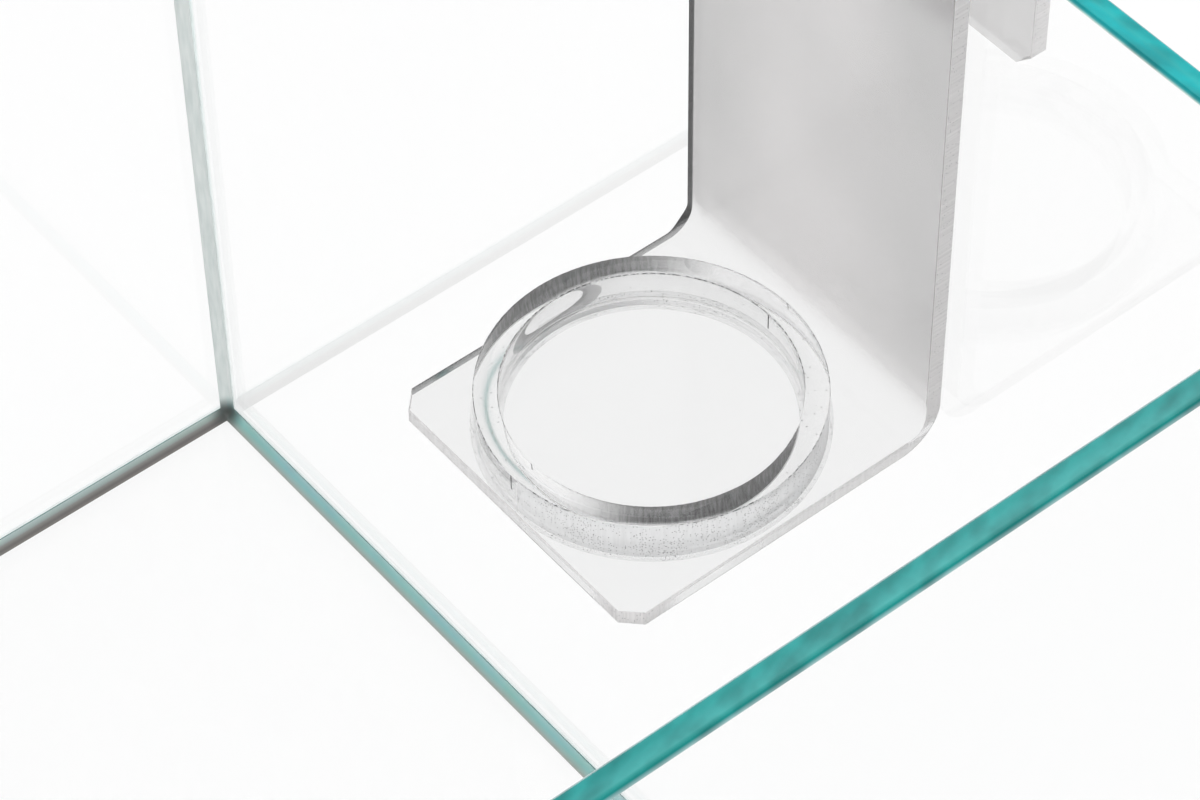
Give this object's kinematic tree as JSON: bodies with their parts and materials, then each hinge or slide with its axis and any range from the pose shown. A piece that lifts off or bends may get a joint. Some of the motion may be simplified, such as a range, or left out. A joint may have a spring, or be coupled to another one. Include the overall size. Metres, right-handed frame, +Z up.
{
  "type": "aquarium with hanging stand",
  "caption": "Rimless clear glass cube aquarium with silicone joints and a clear acrylic stand hooked over the right wall, its foot carrying a ring for a small cup or pot.",
  "frame": {"origin": "middle of the underside of the bottom pane, where the tank rests", "axes": "+Z up, -Y towards the front pane, +X towards the wall that carries the hanging stand"},
  "size_m": [0.419, 0.4, 0.4062],
  "materials": {
    "glass": "polished",
    "silicone": "satin",
    "acrylic": "polished",
    "cement": "satin"
  },
  "bodies": {
    "tank": {"bottom_pane": "glass", "front_pane": "glass", "back_pane": "glass", "left_pane": "glass", "right_pane": "glass", "floor_seam_front": "silicone", "floor_seam_right": "silicone", "floor_seam_back": "silicone", "floor_seam_left": "silicone", "corner_seam_front_left": "silicone", "corner_seam_front_right": "silicone", "corner_seam_back_left": "silicone", "corner_seam_back_right": "silicone"},
    "stand": {"hanging_stand": "acrylic", "cup_ring": "acrylic", "ring_cement": "cement"}
  },
  "joints": [
    {"name": "stand_slide", "type": "slide", "parent": "tank", "child": "stand", "axis": [0, 1, 0], "range_m": [-0.099, 0.202]}
  ]
}
